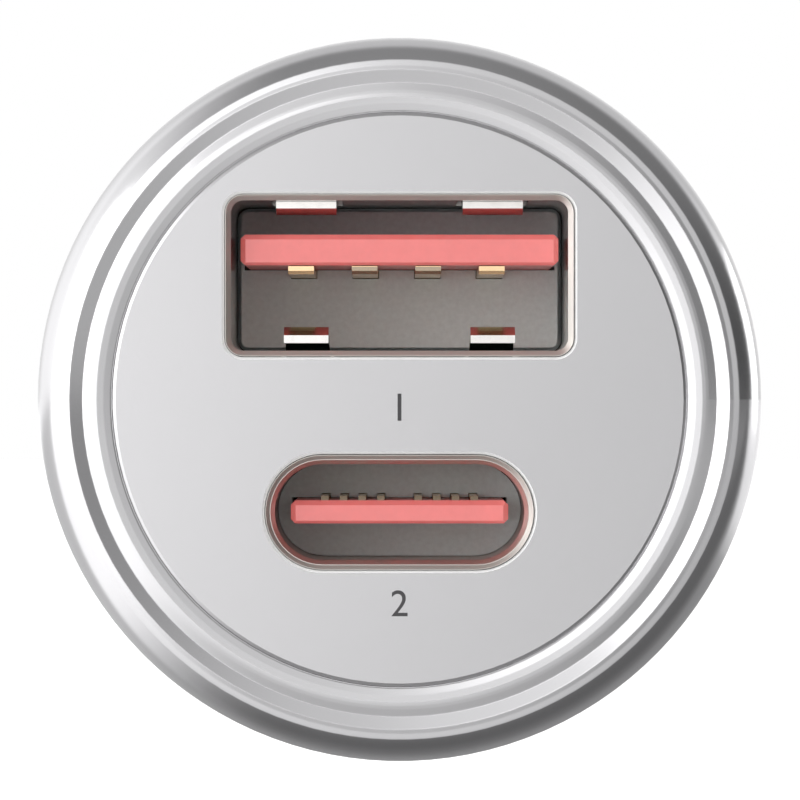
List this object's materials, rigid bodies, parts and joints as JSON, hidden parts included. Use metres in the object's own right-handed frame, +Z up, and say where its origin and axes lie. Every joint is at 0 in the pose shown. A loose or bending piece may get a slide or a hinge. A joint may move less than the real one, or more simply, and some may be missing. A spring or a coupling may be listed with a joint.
{
  "type": "car usb charger plug",
  "caption": "Round metal car charger plug with a wide port above an oval port, side ground springs and a sprung tip contact.",
  "frame": {"origin": "on the plug's axis, in the plane of the head's back shoulder, which stops on the socket's rim", "axes": "+Y along the plug's axis from the face towards the tip contact, +Z up on the wide port's side, +X to the right for someone who looks at the face"},
  "size_m": [0.026, 0.0463, 0.026],
  "materials": {
    "head_metal": "satin, turned and anodised",
    "port_steel": "bright nickel plate",
    "spring_steel": "bright",
    "tongue_coral": "moulded, half gloss",
    "block_grey": "moulded, matte",
    "contact_gold": "gold plate",
    "nose_black": "moulded, matte",
    "tip_brass": "nickel-plated brass",
    "board_green": "glass laminate with solder mask",
    "chip_black": "moulded, matte",
    "ferrite": "sintered",
    "copper_wire": "enamelled",
    "can_metal": "drawn"
  },
  "bodies": {
    "plug_body": {"housing": "head_metal", "face_plate": "head_metal", "wide_port_shell": "port_steel", "wide_port_block": "block_grey", "wide_port_tongue": "tongue_coral", "wide_port_contact_1": "contact_gold", "wide_port_contact_2": "contact_gold", "wide_port_contact_3": "contact_gold", "wide_port_contact_4": "contact_gold", "oval_port_shell": "port_steel", "oval_port_block": "block_grey", "oval_port_tongue": "tongue_coral", "oval_port_mid_plate": "port_steel", "oval_port_upper_contact_1": "contact_gold", "oval_port_upper_contact_2": "contact_gold", "oval_port_upper_contact_3": "contact_gold", "oval_port_upper_contact_4": "contact_gold", "oval_port_upper_contact_5": "contact_gold", "oval_port_upper_contact_6": "contact_gold", "oval_port_upper_contact_7": "contact_gold", "oval_port_upper_contact_8": "contact_gold", "oval_port_lower_contact_1": "contact_gold", "oval_port_lower_contact_2": "contact_gold", "oval_port_lower_contact_3": "contact_gold", "oval_port_lower_contact_4": "contact_gold", "oval_port_lower_contact_5": "contact_gold", "oval_port_lower_contact_6": "contact_gold", "oval_port_lower_contact_7": "contact_gold", "oval_port_lower_contact_8": "contact_gold", "circuit_board": "board_green", "ground_terminal_left": "contact_gold", "ground_terminal_right": "contact_gold", "nose_cap": "nose_black", "tip_terminal": "contact_gold", "tip_spring": "spring_steel", "inductor_core": "ferrite", "inductor_winding": "copper_wire", "input_capacitor": "can_metal", "output_capacitor": "can_metal", "converter_chip": "chip_black", "port_controller_chip": "chip_black", "fuse": "block_grey", "surge_diode": "chip_black", "sense_resistor": "chip_black", "ceramic_capacitor_1": "ferrite", "ceramic_capacitor_2": "ferrite", "ceramic_capacitor_3": "ferrite", "ceramic_capacitor_4": "ferrite"},
    "left_spring": {"ground_spring_left": "spring_steel"},
    "right_spring": {"ground_spring_right": "spring_steel"},
    "tip": {"tip_contact": "tip_brass"}
  },
  "joints": [
    {"name": "tip_contact_press", "type": "slide", "parent": "plug_body", "child": "tip", "axis": [0, -1, 0], "range_m": [0, 0.0022], "stiffness_N_per_m": 1500, "springref_m": -0.001, "deforming": ["tip_spring"]},
    {"name": "ground_spring_left_flex", "type": "hinge", "parent": "plug_body", "child": "left_spring", "pos_m": [-0.00855, 0.0066, 0], "axis": [0, 0, -1], "range_deg": [0, 7.5], "stiffness_Nm_per_rad": 0.3, "springref_deg": -1.72},
    {"name": "ground_spring_right_flex", "type": "hinge", "parent": "plug_body", "child": "right_spring", "pos_m": [0.00855, 0.0066, 0], "axis": [0, 0, 1], "range_deg": [0, 7.5], "stiffness_Nm_per_rad": 0.3, "springref_deg": -1.72}
  ]
}
